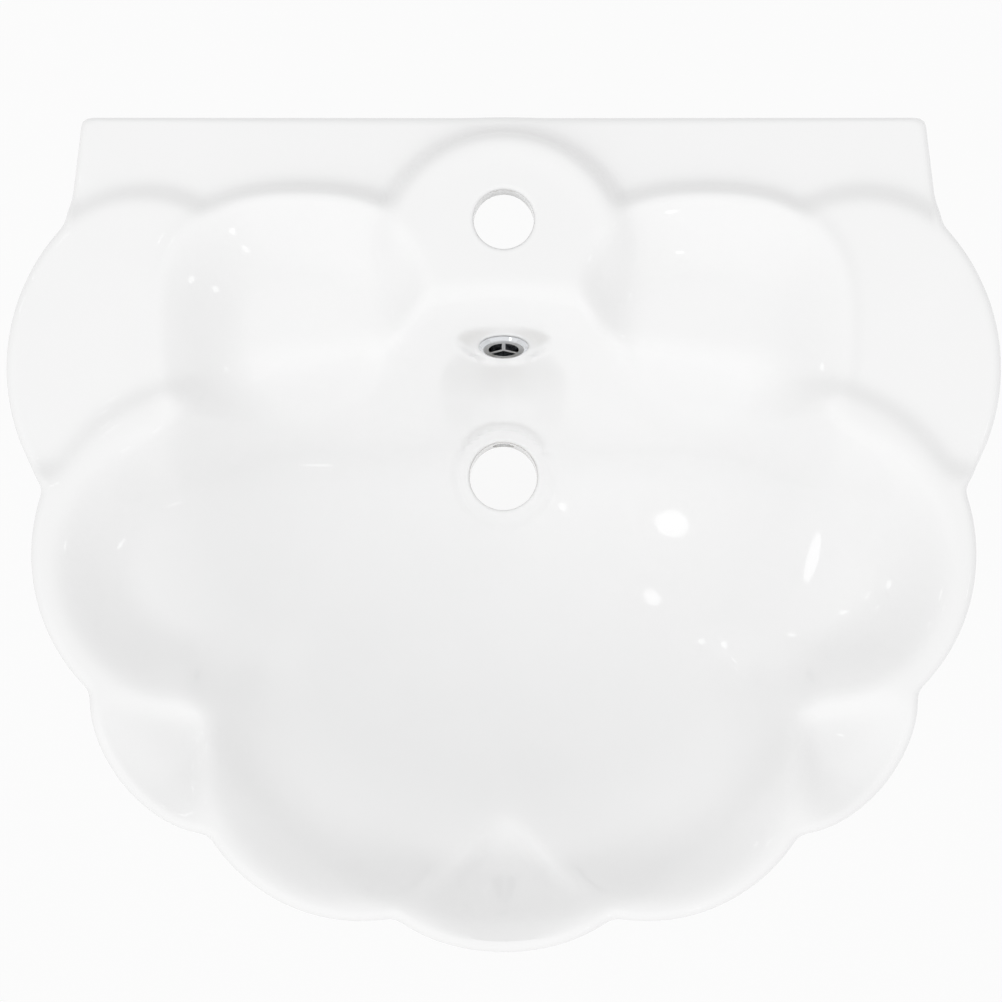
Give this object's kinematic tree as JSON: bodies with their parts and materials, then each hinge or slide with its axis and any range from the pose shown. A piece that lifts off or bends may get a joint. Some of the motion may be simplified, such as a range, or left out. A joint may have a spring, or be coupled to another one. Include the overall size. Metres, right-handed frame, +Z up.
{
  "type": "pedestal sink",
  "caption": "Flower-shaped scalloped ceramic basin with a raised tap ledge, overflow and waste hole, standing on a hollow round-fronted pedestal.",
  "frame": {"origin": "on the floor, under the middle of the basin's bounding box", "axes": "+Z up, +Y towards the wall, -Y towards the user, X along the wall; the sink is symmetric about X = 0"},
  "size_m": [0.581, 0.486, 0.8567],
  "materials": {
    "ware": "white glazed vitreous china",
    "chrome_ring": "bright chrome plate",
    "pad_rubber": "moulded black rubber",
    "bracket_plastic": "moulded grey nylon",
    "sleeve_nylon": "natural nylon",
    "screw_steel": "zinc-plated steel",
    "cap_plastic": "white gloss plastic"
  },
  "bodies": {
    "root": {"basin": "ware", "pedestal": "ware", "overflow_ring": "chrome_ring", "seat_pad_front_left": "pad_rubber", "seat_pad_front_right": "pad_rubber", "seat_pad_rear_left": "pad_rubber", "seat_pad_rear_right": "pad_rubber", "floor_bracket_left": "bracket_plastic", "floor_bracket_right": "bracket_plastic", "screw_sleeve_left": "sleeve_nylon", "screw_sleeve_right": "sleeve_nylon", "side_screw_left": "screw_steel", "side_screw_right": "screw_steel", "screw_cap_left": "cap_plastic", "screw_cap_right": "cap_plastic"}
  },
  "joints": []
}
